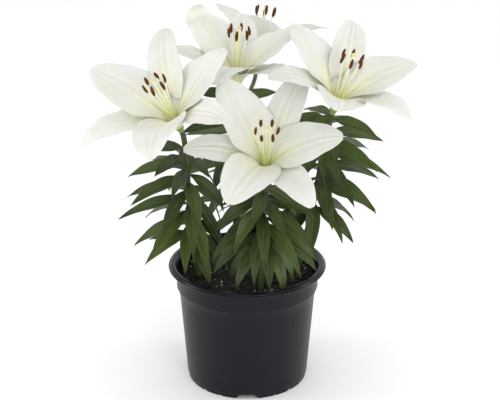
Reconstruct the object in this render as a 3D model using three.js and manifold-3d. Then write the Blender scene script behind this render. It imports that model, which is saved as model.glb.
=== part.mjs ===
// Potted lily: four leafy stems with five white blooms, grown from four bulbs in a black nursery pot.
// Millimetres, +Z up. The shape is worked out about the middle of the pot's foot, and at the end moved so
// that the origin is below the middle of the whole plant, on the surface that the pot stands on.
import * as THREE from "three";
import { mergeVertices } from "three/addons/utils/BufferGeometryUtils.js";
import Module from "manifold-3d";

const wasm = await Module();
wasm.setup();

const { Vector2, Vector3 } = THREE;
const { sin, cos, exp, min, max, sqrt, PI } = Math;
const RAD = PI / 180;

// Gap between two pieces that touch on the real plant
const SEAT = 0.3;

// Detail finer than this is dropped where pieces are fused or cut
const FUSE_TOLERANCE = 0.03;

// Pot: outer radii and heights, from the foot up
const POT_SIDES = 32;
const WALL = 1.6;
const FOOT_RADIUS = 62.8;
const FOOT_WIDTH = 4.5;
const FOOT_HEIGHT = 5.5;
const WALL_FOOT_RADIUS = 63.8;
const WALL_TOP_RADIUS = 70.9;
const WALL_TOP = 93.5;
const COLLAR_RADIUS = 74;
const COLLAR_FOOT = 103;
const LIP_RADIUS = 82.5;
const LIP_WIDTH = 6.3;
const LIP_UNDERSIDE = 125;
const POT_HEIGHT = 129.6;
// Roundings of the lip's edges, and the inner step under it
const LIP_ROUND = 0.8;
const LIP_CROWN = 2.3;
const LIP_TAPER = 0.4;
const LIP_STEP = 5;
const COLLAR_FLARE = 0.6;

// Notches that let water out under the foot: [angle of the first, angle between them, width below, width
// above, height], and how far each reaches into the foot and out of it
const NOTCHES = [
  [0, 90, 24, 15.5, 5],
  [45, 90, 6.5, 4, 2.5],
  [27, 90, 4.5, 3, 1.4],
  [63, 90, 4.5, 3, 1.4],
];
const NOTCH_DEPTH = 8;
const NOTCH_CLEAR = 4;
const DRAIN_HOLES = 6;
const DRAIN_RADIUS = 4.5;
const DRAIN_CIRCLE = 44;
const DRAIN_SIDES = 8;

// Potting mix
const SOIL_TOP = 113;
const SOIL_RELIEF = 0.96;
const SOIL_RINGS = [0.97, 0.55];

// Bulbs
const BULB_RADIUS = 20;
const BULB_HEIGHT = 34;
const BULB_FOOT = 32;
const BULB_SIDES = 10;
const BULB_ROWS = 4;
const BULB_TOP = BULB_FOOT + BULB_HEIGHT;

// Stems: the middle of the bulb, how far and which way the stem leans out of it, and the blooms that it
// carries
const STEM_RADIUS = 3.1;
const STEM_SIDES = 5;
const STEM_STEPS = 7;
const STEM_RISE = 88;
const STEM_BEND = 22;
const PEDICEL_RADIUS = 2.3;
const STEMS = [
  { name: "left", bulb: [-40, 3], lean: [-27, 0], blooms: ["left"] },
  { name: "front", bulb: [13, -29], lean: [2, -4], blooms: ["front"] },
  { name: "right", bulb: [40, 8], lean: [27, 0], blooms: ["right"] },
  { name: "back", bulb: [-4, 37], lean: [0, 5], blooms: ["back", "rear"] },
];
// Where a second bloom's stalk leaves its stem, and how it sets out and arrives
const FORK_HEIGHT = 254;
const FORK_LEAVE = new Vector3(3, 16, 36);
const FORK_ARRIVE = 24;
const FORK_STEPS = 6;
const HOLE_GAP = 0.4;

// Leaves of each stem: heights of the lowest and the topmost, how many, the turn of the first, by how much
// more they bend down, and the seed of their random draws
const LEAVES = {
  left: { low: 156, high: 267, count: 37, turn: 17, droop: 1, seed: 231 },
  front: { low: 161, high: 229, count: 37, turn: 41, droop: 17, seed: 347 },
  right: { low: 186, high: 293, count: 38, turn: 205, droop: 4, seed: 144 },
  back: { low: 164, high: 297, count: 27, turn: 193, droop: -8, seed: 132 },
};
const LEAF_LENGTH = 75;
const LEAF_HALF_WIDTH = 7.3;
const LEAF_KEEL = 0.5;
const LEAF_ROWS = 3;
// Angle above level at the foot, and bend down to the tip, of the lowest and the topmost leaf
const LEAF_LIFTS = [-27, 5];
const LEAF_DROOPS = [35, 24];
const LEAF_SCATTER = 34;
const LEAF_FOLD = 14;
const LEAF_ROLL = 38;
const SPIRAL = 137.5;
const LEAF_TRIES = 60;

// Room kept clear of leaves: between those of two stems, over the pot, and round a bloom, under whose
// tepals the limit rises from its axis
const LEAF_GAP = 2.4;
const RIM_GAP = 4;
const BLOOM_REACH = 92;
const BLOOM_DEPTH = 90;
const BLOOM_WAIST = 8;
const BLOOM_SLOPE = 0.45;
const BLOOM_UNDERSIDE = 11;

// Tepals, outer and inner whorl: length, half-width and the share of it at the claw, angle from the bloom's
// axis at the base, at the open middle and by how much the end curls on, start of the midrib, furrow and
// edge wave
const TEPAL = {
  outer: {
    length: 94, halfWidth: 19, claw: 0.26, base: 22, open: 60, curl: 50,
    radius: 4.6, height: 0, furrow: 0.5, wave: 0.8,
  },
  inner: {
    length: 96, halfWidth: 27.5, claw: 0.15, base: 20, open: 56, curl: 45,
    radius: 3.8, height: 1, furrow: 0.9, wave: 1.5,
  },
};
const TEPAL_THICKNESS = 1.2;
const TEPAL_ROWS = 7;
const CLAW_END = 0.4;
const OPENING_END = 0.4;
const FOLD_START = 0.8;

// Blooms: place of the receptacle, lean of the axis from upright and the way it leans, turn round the axis,
// and for each tepal, counter-clockwise from an outer one, what differs: [length, open, curl, turn], and
// for some the angle by which the tip folds back
const BLOOMS = {
  left: {
    base: [-68, -39, 294.6], lean: 31, towards: 226, turn: 318,
    tepals: [
      [0, 4, 2, -1], [-5, 4, -24, 2], [16, -9, 14, 5],
      [7, -1, -26, 4], [8, 8, 3, -9], [1, 3, 12, 2],
    ],
  },
  front: {
    base: [18, -50, 254.3], lean: 32, towards: 272, turn: 302,
    tepals: [
      [2, 2, 3, -1], [-6, -3, -11, -2], [14, 1, -7, 4, 90],
      [0, -11, -18, 7], [-4, 5, 1, 0], [9, 2, -7, 5],
    ],
  },
  right: {
    base: [88, -3, 301.5], lean: 21, towards: 318, turn: 324,
    tepals: [
      [-2, -1, 12, 4], [-3, -5, -13, -1], [12, -8, 2, 3],
      [-2, 3, -20, -5], [-5, 5, 10, -8], [-6, 6, -20, -1],
    ],
  },
  back: {
    base: [-11, 41, 312.6], lean: 11, towards: 285, turn: 318,
    tepals: [
      [-16, 0, -28, -2], [-12, -11, -26, -11], [-11, -5, -19, 8],
      [0, 3, -20, -8, -120], [-16, -1, -28, -9], [8, 1, 14, -4],
    ],
  },
  rear: {
    base: [11, 137, 302.7], lean: 25, towards: 69, turn: 213,
    tepals: [
      [-11, -19, -5, -2], [-17, 3, -20, -10], [-1, -7, 0, -3],
      [-5, -3, -4, 8], [0, -1, -1, -3], [-3, 10, 12, -4],
    ],
  },
};

// Receptacle at the end of the stem, and the core that holds the six tepals
const RECEPTACLE_RADIUS = 4.4;
const RECEPTACLE_LENGTH = 7;
const CORE_FOOT = -2;
const CORE_TOP = 3;
const CORE_RADIUS = 6;

// Stamens and pistil
const FILAMENT_RADIUS = 0.85;
const FILAMENT_RING = 2.9;
const FILAMENT_HEIGHT = 57;
const FILAMENT_SPREAD = 10.5;
const ANTHER_LENGTH = 11.5;
const ANTHER_RADIUS = 1.75;
const OVARY_RADIUS = 2.1;
const OVARY_TOP = 19;
const STYLE_RADIUS = 1;
const STYLE_TOP = 63;
const STIGMA_RADIUS = 2.9;

// Small helpers
const clamp = (x) => min(max(x, 0), 1);
const smooth = (x) => clamp(x) ** 2 * (3 - 2 * clamp(x));
const mix = (a, b, t) => a + (b - a) * t;
const point = (list) => new Vector3(...list);

// Seeded random draws between 0 and 1
function draws(seed) {
  let state = seed;
  return () => {
    state = (Math.imul(state, 1664525) + 1013904223) >>> 0;
    return state / 4294967296;
  };
}

// A geometry as a solid, with only its shared positions kept
function solid(geometry) {
  const bare = geometry.clone();
  bare.deleteAttribute("normal");
  bare.deleteAttribute("uv");
  const merged = mergeVertices(bare, 1e-4);
  const triVerts = new Uint32Array(merged.index.array);
  const vertProperties = new Float32Array(merged.attributes.position.array);
  const made = new wasm.Manifold(new wasm.Mesh({ numProp: 3, vertProperties, triVerts }));
  if (made.volume() > 0) return made;
  for (let i = 0; i < triVerts.length; i += 3) {
    [triVerts[i], triVerts[i + 1]] = [triVerts[i + 1], triVerts[i]];
  }
  return new wasm.Manifold(new wasm.Mesh({ numProp: 3, vertProperties, triVerts }));
}

// A solid back as a geometry
function geometryOf(body) {
  const mesh = body.getMesh();
  const geometry = new THREE.BufferGeometry();
  geometry.setAttribute("position", new THREE.BufferAttribute(new Float32Array(mesh.vertProperties), 3));
  geometry.setIndex(new THREE.BufferAttribute(new Uint32Array(mesh.triVerts), 1));
  geometry.computeVertexNormals();
  return geometry;
}

// Bodies fused into one, without the scraps and the sealed hollows that fusing leaves
function joined(bodies) {
  const parts = bodies.reduce((whole, body) => whole.add(body)).simplify(FUSE_TOLERANCE).decompose();
  return parts.reduce((best, body) => (body.volume() > best.volume() ? body : best));
}

// Closed skin over a row of rings, with a fan over each end. The second half of each ring is split the
// other way, so that both faces of a thin blade are cut into triangles alike.
function skin(rings) {
  const count = rings[0].length;
  const positions = rings.flat().flatMap((p) => [p.x, p.y, p.z]);
  const index = [];
  for (let row = 0; row + 1 < rings.length; row += 1) {
    for (let j = 0; j < count; j += 1) {
      const a = row * count + j;
      const b = row * count + ((j + 1) % count);
      const c = a + count;
      const d = b + count;
      if (j < (count - 1) / 2) index.push(a, b, d, a, d, c);
      else index.push(a, b, c, b, d, c);
    }
  }
  const last = (rings.length - 1) * count;
  for (let j = 1; j + 1 < count; j += 1) {
    index.push(0, j + 1, j);
    index.push(last, last + j, last + j + 1);
  }
  const geometry = new THREE.BufferGeometry();
  geometry.setAttribute("position", new THREE.Float32BufferAttribute(positions, 3));
  geometry.setIndex(index);
  return geometry;
}

// Round tube along a curve
function tube(curve, radius, sides, steps) {
  const corners = Array.from({ length: sides }, (_, k) => (2 * PI * k) / sides);
  const section = new THREE.Shape(corners.map((a) => new Vector2(radius * cos(a), radius * sin(a))));
  return new THREE.ExtrudeGeometry(section, { steps, bevelEnabled: false, extrudePath: curve });
}

// Profile of [radius, height] pairs turned round the Z axis
function turned(profile, sides) {
  const geometry = new THREE.LatheGeometry(profile.map(([r, z]) => new Vector2(r, z)), sides);
  return geometry.rotateX(PI / 2);
}

// Straight line between two points of a lower and an upper radius, as a radius at height z
const between = (z, [z0, r0], [z1, r1]) => mix(r0, r1, clamp((z - z0) / (z1 - z0)));

// Inner radius of the pot at height z
function potInside(z) {
  if (z < WALL_TOP) return between(z, [FOOT_HEIGHT, WALL_FOOT_RADIUS], [WALL_TOP, WALL_TOP_RADIUS]) - WALL;
  return between(z, [WALL_TOP, WALL_TOP_RADIUS], [COLLAR_FOOT, COLLAR_RADIUS]) - WALL;
}

function potBody() {
  const inner = COLLAR_RADIUS - WALL;
  const profile = [
    [0, FOOT_HEIGHT],
    [FOOT_RADIUS - FOOT_WIDTH, FOOT_HEIGHT],
    [FOOT_RADIUS - FOOT_WIDTH, 0],
    [FOOT_RADIUS, 0],
    [WALL_FOOT_RADIUS, FOOT_HEIGHT],
    [WALL_TOP_RADIUS, WALL_TOP],
    [mix(WALL_TOP_RADIUS, COLLAR_RADIUS, 0.85), mix(WALL_TOP, COLLAR_FOOT, 0.65)],
    [COLLAR_RADIUS, COLLAR_FOOT],
    [COLLAR_RADIUS + COLLAR_FLARE, LIP_UNDERSIDE],
    [LIP_RADIUS - LIP_ROUND, LIP_UNDERSIDE],
    [LIP_RADIUS, LIP_UNDERSIDE + LIP_ROUND],
    [LIP_RADIUS - LIP_TAPER, POT_HEIGHT - LIP_CROWN],
    [LIP_RADIUS - LIP_CROWN, POT_HEIGHT],
    [LIP_RADIUS - LIP_WIDTH, POT_HEIGHT],
    [inner, POT_HEIGHT - LIP_STEP],
    [inner, COLLAR_FOOT],
    [WALL_TOP_RADIUS - WALL, WALL_TOP],
    [potInside(FOOT_HEIGHT + WALL), FOOT_HEIGHT + WALL],
    [0, FOOT_HEIGHT + WALL],
  ];
  let body = solid(turned(profile, POT_SIDES));
  for (const [first, step, below, above, height] of NOTCHES) {
    for (let angle = first; angle < 360; angle += step) {
      const shape = new THREE.Shape();
      shape.moveTo(-below / 2 - 1, -1);
      shape.lineTo(below / 2 + 1, -1);
      shape.lineTo(above / 2, height);
      shape.lineTo(-above / 2, height);
      const depth = NOTCH_DEPTH + NOTCH_CLEAR;
      const wedge = new THREE.ExtrudeGeometry(shape, { depth, bevelEnabled: false });
      wedge.rotateX(PI / 2).translate(0, NOTCH_DEPTH - FOOT_RADIUS, 0).rotateZ(angle * RAD);
      body = body.subtract(solid(wedge));
    }
  }
  for (let k = 0; k < DRAIN_HOLES; k += 1) {
    const hole = new THREE.CylinderGeometry(DRAIN_RADIUS, DRAIN_RADIUS, 4 * WALL, DRAIN_SIDES);
    const angle = ((k + 0.5) * 2 * PI) / DRAIN_HOLES;
    const [x, y] = [DRAIN_CIRCLE * cos(angle), DRAIN_CIRCLE * sin(angle)];
    hole.rotateX(PI / 2).translate(x, y, FOOT_HEIGHT + WALL / 2);
    body = body.subtract(solid(hole));
  }
  return geometryOf(body.simplify(FUSE_TOLERANCE));
}

// Low lumps of the potting mix over the pot's plan
function soilRelief(x, y) {
  const lumps = sin(0.21 * x + 1.3) * cos(0.17 * y) + 0.7 * sin(0.11 * x - 0.27 * y + 0.6);
  return SOIL_RELIEF * lumps;
}

// Bulb profile: flat root plate, full belly and a drawn-in neck. Grown, it is the hollow that the bulb
// fills, with a neck that reaches up into the stem's hole.
function bulbProfile(grow) {
  const radius = BULB_RADIUS + grow;
  const rows = [[0, -grow], [0.4, -grow]];
  for (let k = 1; k < BULB_ROWS; k += 1) {
    const t = k / BULB_ROWS;
    rows.push([sin(PI * t ** 0.8) ** 0.6 * mix(1, 0.72, t), 0]);
    rows[k + 1][1] = mix(-grow, BULB_HEIGHT + grow, t);
  }
  rows.push([0.16, BULB_HEIGHT + 4 * grow], [0, BULB_HEIGHT + 4 * grow]);
  return rows.map(([r, z]) => [r * radius, z + BULB_FOOT]);
}

// Bulb with overlapping scales, as ridges that lean round it
function bulbBody(x, y) {
  const geometry = turned(bulbProfile(0), BULB_SIDES);
  const place = geometry.attributes.position;
  for (let i = 0; i < place.count; i += 1) {
    const p = new Vector3().fromBufferAttribute(place, i);
    const t = clamp((p.z - BULB_FOOT) / BULB_HEIGHT);
    const swell = 1 - 0.06 * (0.5 + 0.5 * sin(5 * Math.atan2(p.y, p.x) + 9 * t)) * sin(PI * t);
    place.setXYZ(i, x + p.x * swell, y + p.y * swell, p.z);
  }
  return geometry;
}

// Unit vector of a bloom's axis
function axisOf(bloom) {
  return new Vector3(
    sin(bloom.lean * RAD) * cos(bloom.towards * RAD),
    sin(bloom.lean * RAD) * sin(bloom.towards * RAD),
    cos(bloom.lean * RAD),
  );
}

// The bloom's own frame: z along its axis, turned round it
function bloomFrame(bloom) {
  const frame = new THREE.Matrix4().makeRotationZ(bloom.towards * RAD);
  frame.multiply(new THREE.Matrix4().makeRotationY(bloom.lean * RAD));
  frame.multiply(new THREE.Matrix4().makeRotationZ((bloom.turn - bloom.towards) * RAD));
  return frame.setPosition(point(bloom.base));
}

// Curve from one point to another, leaving and arriving along given ways
function sweep(from, leave, to, arrive) {
  return new THREE.CubicBezierCurve3(from, from.clone().add(leave), to.clone().sub(arrive), to);
}

// Where a bloom's receptacle begins
const receptacleFoot = (bloom) =>
  point(bloom.base).addScaledVector(axisOf(bloom), CORE_FOOT - SEAT - RECEPTACLE_LENGTH);

// Main line of a stem, from its bulb to its first bloom
function stemLine(stem) {
  const tilt = (STEM_RADIUS * Math.hypot(...stem.lean)) / STEM_RISE;
  const root = new Vector3(...stem.bulb, BULB_TOP + SEAT + tilt);
  const leave = new Vector3(...stem.lean, STEM_RISE);
  const bloom = BLOOMS[stem.blooms[0]];
  return sweep(root, leave, receptacleFoot(bloom), axisOf(bloom).multiplyScalar(STEM_BEND));
}

// Points of each stem's line, to look up where the stem is at a height
const STEM_POINTS = STEMS.map((stem) => stemLine(stem).getPoints(32));

// Place of stem number i at height z, level with it
function stemAt(i, z) {
  const points = STEM_POINTS[i];
  if (z <= points[0].z) return points[0];
  for (let k = 1; k < points.length; k += 1) {
    const [a, b] = [points[k - 1], points[k]];
    if (b.z > a.z && z <= b.z) return a.clone().lerp(b, (z - a.z) / (b.z - a.z));
  }
  return points[points.length - 1];
}

// A leaf's middle line: it leaves the stem at its lift above level, and bends down by its droop on the way
// to its tip
function leafPoint(leaf, t, v) {
  const steps = 24;
  let out = 0;
  let high = 0;
  for (let k = 0; k < steps; k += 1) {
    const s = ((k + 0.5) / steps) * t;
    const angle = (leaf.lift - leaf.droop * s ** 1.2) * RAD;
    out += (cos(angle) * leaf.length * t) / steps;
    high += (sin(angle) * leaf.length * t) / steps;
  }
  const slope = (leaf.lift - leaf.droop * t ** 1.2) * RAD;
  const width = leaf.halfWidth * max(sin(PI * t ** 0.8), 0.03);
  const a = leaf.turn * RAD;
  const roll = -LEAF_ROLL * RAD * cos(a) * smooth(t / 0.3);
  const across = width * v * cos(LEAF_FOLD * RAD);
  const edge = width * Math.abs(v) * sin(LEAF_FOLD * RAD);
  const side = across * cos(roll) + edge * sin(roll) + leaf.sway * t * t;
  const lift = edge * cos(roll) - across * sin(roll);
  const outwards = out - lift * sin(slope);
  return new Vector3(
    leaf.from.x + outwards * cos(a) - side * sin(a),
    leaf.from.y + outwards * sin(a) + side * cos(a),
    leaf.from.z + high + lift * cos(slope),
  );
}

// Whether a point of a leaf of stem i is clear of the other stems' leaves, the blooms, the pot and the soil
function isClear(p, i) {
  const own = stemAt(i, p.z);
  const reach = Math.hypot(p.x - own.x, p.y - own.y);
  for (let j = 0; j < STEMS.length; j += 1) {
    if (j === i) continue;
    const other = stemAt(j, p.z);
    if (Math.hypot(p.x - other.x, p.y - other.y) < reach + LEAF_GAP) return false;
  }
  for (const bloom of Object.values(BLOOMS)) {
    const away = p.clone().sub(point(bloom.base));
    const along = away.dot(axisOf(bloom));
    const aside = sqrt(max(away.lengthSq() - along * along, 0));
    const under = min(BLOOM_SLOPE * (aside - BLOOM_WAIST), BLOOM_UNDERSIDE);
    if (aside < BLOOM_REACH && along > under && along < BLOOM_DEPTH) return false;
  }
  const overRim = Math.hypot(p.x, p.y) > COLLAR_RADIUS - WALL - RIM_GAP;
  return p.z > (overRim ? POT_HEIGHT : SOIL_TOP) + RIM_GAP;
}

// Leaves of stem number i, in a spiral up it. Each is drawn again, further from the rule, until it is
// clear.
function leavesOf(i) {
  const rule = LEAVES[STEMS[i].name];
  const next = draws(rule.seed);
  const leaves = [];
  for (let k = 0; k < rule.count; k += 1) {
    const q = k / (rule.count - 1);
    const from = stemAt(i, mix(rule.low, rule.high, q)).clone();
    for (let attempt = 0; attempt < LEAF_TRIES; attempt += 1) {
      const freedom = 0.3 + attempt / 20;
      const leaf = {
        from,
        turn: rule.turn + SPIRAL * k + 40 * freedom * (next() - 0.5),
        length: LEAF_LENGTH * (0.76 + 0.32 * sin(PI * q) - 0.1 * q) * (1 - 0.12 * freedom * next()),
        halfWidth: LEAF_HALF_WIDTH * (0.9 + 0.2 * next()),
        lift: mix(...LEAF_LIFTS, q ** 0.6) + LEAF_SCATTER * freedom * (next() - 0.5),
        droop: mix(...LEAF_DROOPS, q) + rule.droop + LEAF_SCATTER * freedom * (next() - 0.5),
        sway: 10 * (next() - 0.5),
      };
      const places = [0.25, 0.5, 0.75, 1].flatMap((t) => [-1, 0, 1].map((v) => leafPoint(leaf, t, v)));
      if (!places.every((p) => isClear(p, i))) continue;
      leaves.push(leaf);
      break;
    }
  }
  return leaves;
}

// A leaf's blade: three-sided, with its edges above and its midrib as a keel below, sunk into the stem at
// its foot
function leafBody(leaf) {
  const rings = [];
  for (let row = 0; row <= LEAF_ROWS; row += 1) {
    const t = mix(0.015, 0.985, row / LEAF_ROWS);
    const keel = leafPoint(leaf, t, 0);
    keel.z -= LEAF_KEEL;
    rings.push([leafPoint(leaf, t, -1), leafPoint(leaf, t, 1), keel]);
  }
  return solid(skin(rings));
}

// Receptacle: the swollen end of a stem or pedicel, in the bloom's own frame
function receptacle(bloom) {
  const top = CORE_FOOT - SEAT;
  const geometry = turned(
    [
      [0, top - RECEPTACLE_LENGTH - 1],
      [PEDICEL_RADIUS, top - RECEPTACLE_LENGTH - 1],
      [RECEPTACLE_RADIUS, top - 2],
      [RECEPTACLE_RADIUS, top],
      [0, top],
    ],
    10,
  );
  return solid(geometry.applyMatrix4(bloomFrame(bloom)));
}

// A leafy stem: its line, a second bloom's stalk, receptacles and leaves as one body
function stemBody(stem, i) {
  const line = stemLine(stem);
  const bodies = [solid(tube(line, STEM_RADIUS, STEM_SIDES, STEM_STEPS))];
  for (const name of stem.blooms.slice(1)) {
    const foot = stemAt(i, FORK_HEIGHT).clone();
    const arrive = axisOf(BLOOMS[name]).multiplyScalar(FORK_ARRIVE);
    const stalk = sweep(foot, FORK_LEAVE, receptacleFoot(BLOOMS[name]), arrive);
    bodies.push(solid(tube(stalk, PEDICEL_RADIUS, STEM_SIDES, FORK_STEPS)));
  }
  for (const name of stem.blooms) bodies.push(receptacle(BLOOMS[name]));
  for (const leaf of leavesOf(i)) bodies.push(leafBody(leaf));
  return geometryOf(joined(bodies));
}

// Radius, height and angle from the axis along a tepal's midrib, which opens to the middle and then curls
// on
function tepalMidrib(tepal, t) {
  const steps = 40;
  const angleAt = (s) =>
    (mix(tepal.base, tepal.open, smooth(s / OPENING_END)) +
      tepal.curl * clamp((s - OPENING_END) / (1 - OPENING_END)) ** 1.5 +
      tepal.fold * smooth((s - FOLD_START) / (1 - FOLD_START))) * RAD;
  let radius = tepal.radius;
  let height = tepal.height;
  for (let k = 0; k < steps; k += 1) {
    const angle = angleAt(((k + 0.5) / steps) * t);
    radius += (sin(angle) * tepal.length * t) / steps;
    height += (cos(angle) * tepal.length * t) / steps;
  }
  return { radius, height, angle: angleAt(t) };
}

// Half-width of a tepal: a narrow claw, a broad middle and a blunt tip
function tepalHalfWidth(tepal, t) {
  return tepal.halfWidth * mix(tepal.claw, 1, smooth(t / CLAW_END)) * (1 - (0.985 * t) ** 3.5) ** 0.66;
}

// Point of a tepal at t along it and v across it, lifted off its middle surface, in the bloom's own frame.
// Across, it wraps round the axis near the base and is a shallow trough with a furrow and a waved edge
// further out.
function tepalPoint(tepal, t, v, lifted) {
  const { radius, height, angle } = tepalMidrib(tepal, t);
  const width = tepalHalfWidth(tepal, t);
  const bend = (max(cos(angle), 0) / radius) * mix(1, 0.4, smooth(t / 0.5)) + mix(0.007, 0.002, t);
  const side = sin(bend * width * v) / bend;
  const wave = tepal.wave * smooth((t - 0.2) / 0.4) * v * v * sin(2 * PI * (1.3 * t + tepal.phase + 0.3 * v));
  const furrow = tepal.furrow * exp(-((v / 0.25) ** 2)) * sin(PI * min(t + 0.1, 1));
  const lift = (1 - cos(bend * width * v)) / bend + wave - furrow + lifted;
  const out = radius - lift * cos(angle);
  const a = tepal.turn * RAD;
  return new Vector3(out * cos(a) - side * sin(a), out * sin(a) + side * cos(a), height + lift * sin(angle));
}

// One tepal: a ring of five points above and three below at each row
function tepalBody(tepal, frame) {
  const rings = [];
  for (let row = 0; row < TEPAL_ROWS; row += 1) {
    const t = row / (TEPAL_ROWS - 1);
    const thick = TEPAL_THICKNESS * mix(1, 0.7, t);
    const above = [-1, -0.5, 0, 0.5, 1].map((v) => tepalPoint(tepal, t, v, 0));
    const below = [0.5, 0, -0.5].map((v) => tepalPoint(tepal, t, v, -thick));
    rings.push([...above, ...below].map((p) => p.applyMatrix4(frame)));
  }
  return solid(skin(rings));
}

// The six tepals of a bloom with the core that they grow from
function bloomBody(bloom) {
  const frame = bloomFrame(bloom);
  const core = turned(
    [
      [0, CORE_FOOT],
      [RECEPTACLE_RADIUS - 0.4, CORE_FOOT],
      [CORE_RADIUS, 0.5],
      [CORE_RADIUS, CORE_TOP],
      [0, CORE_TOP],
    ],
    8,
  );
  const bodies = [solid(core.applyMatrix4(frame))];
  bloom.tepals.forEach(([length, open, curl, turn, fold = 0], k) => {
    const kind = k % 2 ? TEPAL.inner : TEPAL.outer;
    const tepal = {
      ...kind,
      length: kind.length + length,
      open: kind.open + open,
      curl: kind.curl + curl,
      turn: 60 * k + turn,
      fold,
      phase: 0.37 * k,
    };
    bodies.push(tepalBody(tepal, frame));
  });
  return geometryOf(joined(bodies));
}

// Line of filament number k, which leans away from the style
function filamentLine(k) {
  const a = 60 * k * RAD;
  const ray = new Vector3(cos(a), sin(a), 0);
  const at = (r, z) => ray.clone().multiplyScalar(r).setZ(z);
  const foot = CORE_TOP + SEAT + 0.6;
  const middle = at(FILAMENT_RING + 1.2, FILAMENT_HEIGHT * 0.55);
  const end = at(FILAMENT_SPREAD, FILAMENT_HEIGHT);
  return new THREE.QuadraticBezierCurve3(at(FILAMENT_RING, foot), middle, end);
}

// Six filaments with their anthers round the pistil, on a shared root disc
function stamensBody(bloom) {
  const frame = bloomFrame(bloom);
  const foot = CORE_TOP + SEAT;
  const pistil = turned(
    [
      [0, foot],
      [4, foot],
      [4, foot + 1],
      [OVARY_RADIUS, foot + 1.6],
      [OVARY_RADIUS, OVARY_TOP],
      [STYLE_RADIUS, OVARY_TOP + 2],
      [STYLE_RADIUS, STYLE_TOP - 2],
      [STIGMA_RADIUS, STYLE_TOP],
      [STIGMA_RADIUS * 0.8, STYLE_TOP + 1.6],
      [0, STYLE_TOP + 1.2],
    ],
    6,
  );
  const bodies = [solid(pistil)];
  for (let k = 0; k < 6; k += 1) {
    const line = filamentLine(k);
    bodies.push(solid(tube(line, FILAMENT_RADIUS, 3, 2)));
    const anther = new THREE.SphereGeometry(1, 4, 3).rotateX(PI / 2);
    anther.scale(ANTHER_RADIUS, ANTHER_RADIUS, ANTHER_LENGTH / 2);
    const end = line.getPoint(1);
    bodies.push(solid(anther.translate(end.x, end.y, end.z + 1)));
  }
  return geometryOf(joined(bodies).transform(frame.elements));
}

// Potting mix: lumpy top, with a plain hole for each stem that opens into the hollow that its bulb fills
function soilBody() {
  const foot = FOOT_HEIGHT + WALL + SEAT;
  const wall = (z) => potInside(z) - SEAT;
  const rim = wall(SOIL_TOP);
  const profile = [
    [0, foot],
    [wall(foot), foot],
    [wall(WALL_TOP), WALL_TOP],
    [wall(COLLAR_FOOT), COLLAR_FOOT],
    [rim, SOIL_TOP - 1],
  ];
  for (const part of SOIL_RINGS) profile.push([rim * part, SOIL_TOP]);
  profile.push([0, SOIL_TOP]);
  const geometry = turned(profile, POT_SIDES);
  const place = geometry.attributes.position;
  for (let i = 0; i < place.count; i += 1) {
    const [x, y, z] = [place.getX(i), place.getY(i), place.getZ(i)];
    if (z > SOIL_TOP - 0.5) place.setZ(i, z + soilRelief(x, y));
  }
  let body = solid(geometry);
  for (const stem of STEMS) {
    const [x, y] = stem.bulb;
    body = body.subtract(solid(turned(bulbProfile(SEAT), BULB_SIDES).translate(x, y, 0)));
    body = body.subtract(solid(tube(stemLine(stem), STEM_RADIUS + HOLE_GAP, STEM_SIDES, STEM_STEPS)));
  }
  return geometryOf(body.simplify(FUSE_TOLERANCE));
}

// Finishes
const FINISH = {
  pot: new THREE.MeshStandardMaterial({ color: 0x242426, roughness: 0.42, metalness: 0 }),
  soil: new THREE.MeshStandardMaterial({ color: 0x1d1712, roughness: 0.95, metalness: 0 }),
  bulb: new THREE.MeshStandardMaterial({ color: 0xd9cfae, roughness: 0.6, metalness: 0 }),
  leaf: new THREE.MeshStandardMaterial({ color: 0x34482a, roughness: 0.5, metalness: 0 }),
  tepal: new THREE.MeshStandardMaterial({ color: 0xf4f3ea, roughness: 0.55, metalness: 0 }),
  stamen: new THREE.MeshStandardMaterial({ color: 0x8a4420, roughness: 0.7, metalness: 0 }),
};

const plant = new THREE.Group();

function add(name, geometry, material) {
  const mesh = new THREE.Mesh(geometry, material);
  mesh.name = name;
  plant.add(mesh);
}

add("pot", potBody(), FINISH.pot);
add("potting_mix", soilBody(), FINISH.soil);
STEMS.forEach((stem, i) => {
  add(`bulb_${stem.name}`, bulbBody(...stem.bulb), FINISH.bulb);
  add(`leafy_stem_${stem.name}`, stemBody(stem, i), FINISH.leaf);
});
for (const [name, bloom] of Object.entries(BLOOMS)) {
  add(`bloom_${name}_tepals`, bloomBody(bloom), FINISH.tepal);
  add(`bloom_${name}_stamens`, stamensBody(bloom), FINISH.stamen);
}

// The origin goes below the middle of the whole plant
const middle = new THREE.Box3().setFromObject(plant).getCenter(new Vector3());
plant.position.set(-middle.x, -middle.y, 0);

export default plant;
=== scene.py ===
"""Potted white lily as it looks, over the CAD frame: blooms, leaves, stems, bulbs, potting mix and pot."""

import bpy
import numpy as np
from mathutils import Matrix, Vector


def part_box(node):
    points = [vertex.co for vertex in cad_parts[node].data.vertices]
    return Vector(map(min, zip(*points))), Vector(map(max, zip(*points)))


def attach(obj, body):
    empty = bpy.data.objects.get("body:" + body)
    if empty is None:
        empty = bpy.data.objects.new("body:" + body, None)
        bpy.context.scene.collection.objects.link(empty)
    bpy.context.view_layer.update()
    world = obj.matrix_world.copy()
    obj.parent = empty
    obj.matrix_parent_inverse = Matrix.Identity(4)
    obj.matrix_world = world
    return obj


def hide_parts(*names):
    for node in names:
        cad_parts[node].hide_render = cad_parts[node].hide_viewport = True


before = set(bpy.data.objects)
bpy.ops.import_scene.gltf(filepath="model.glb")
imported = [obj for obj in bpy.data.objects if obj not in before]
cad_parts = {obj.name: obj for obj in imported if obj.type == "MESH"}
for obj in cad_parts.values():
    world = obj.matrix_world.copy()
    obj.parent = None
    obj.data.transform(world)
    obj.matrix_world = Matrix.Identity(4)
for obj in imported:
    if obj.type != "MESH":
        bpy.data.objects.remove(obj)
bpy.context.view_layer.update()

# Sizes are in millimetres about the middle of the pot's foot, and become metres in the frame when a mesh is
# made
MM = 0.001
pot_low, pot_high = (np.array(corner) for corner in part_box("pot"))
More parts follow.
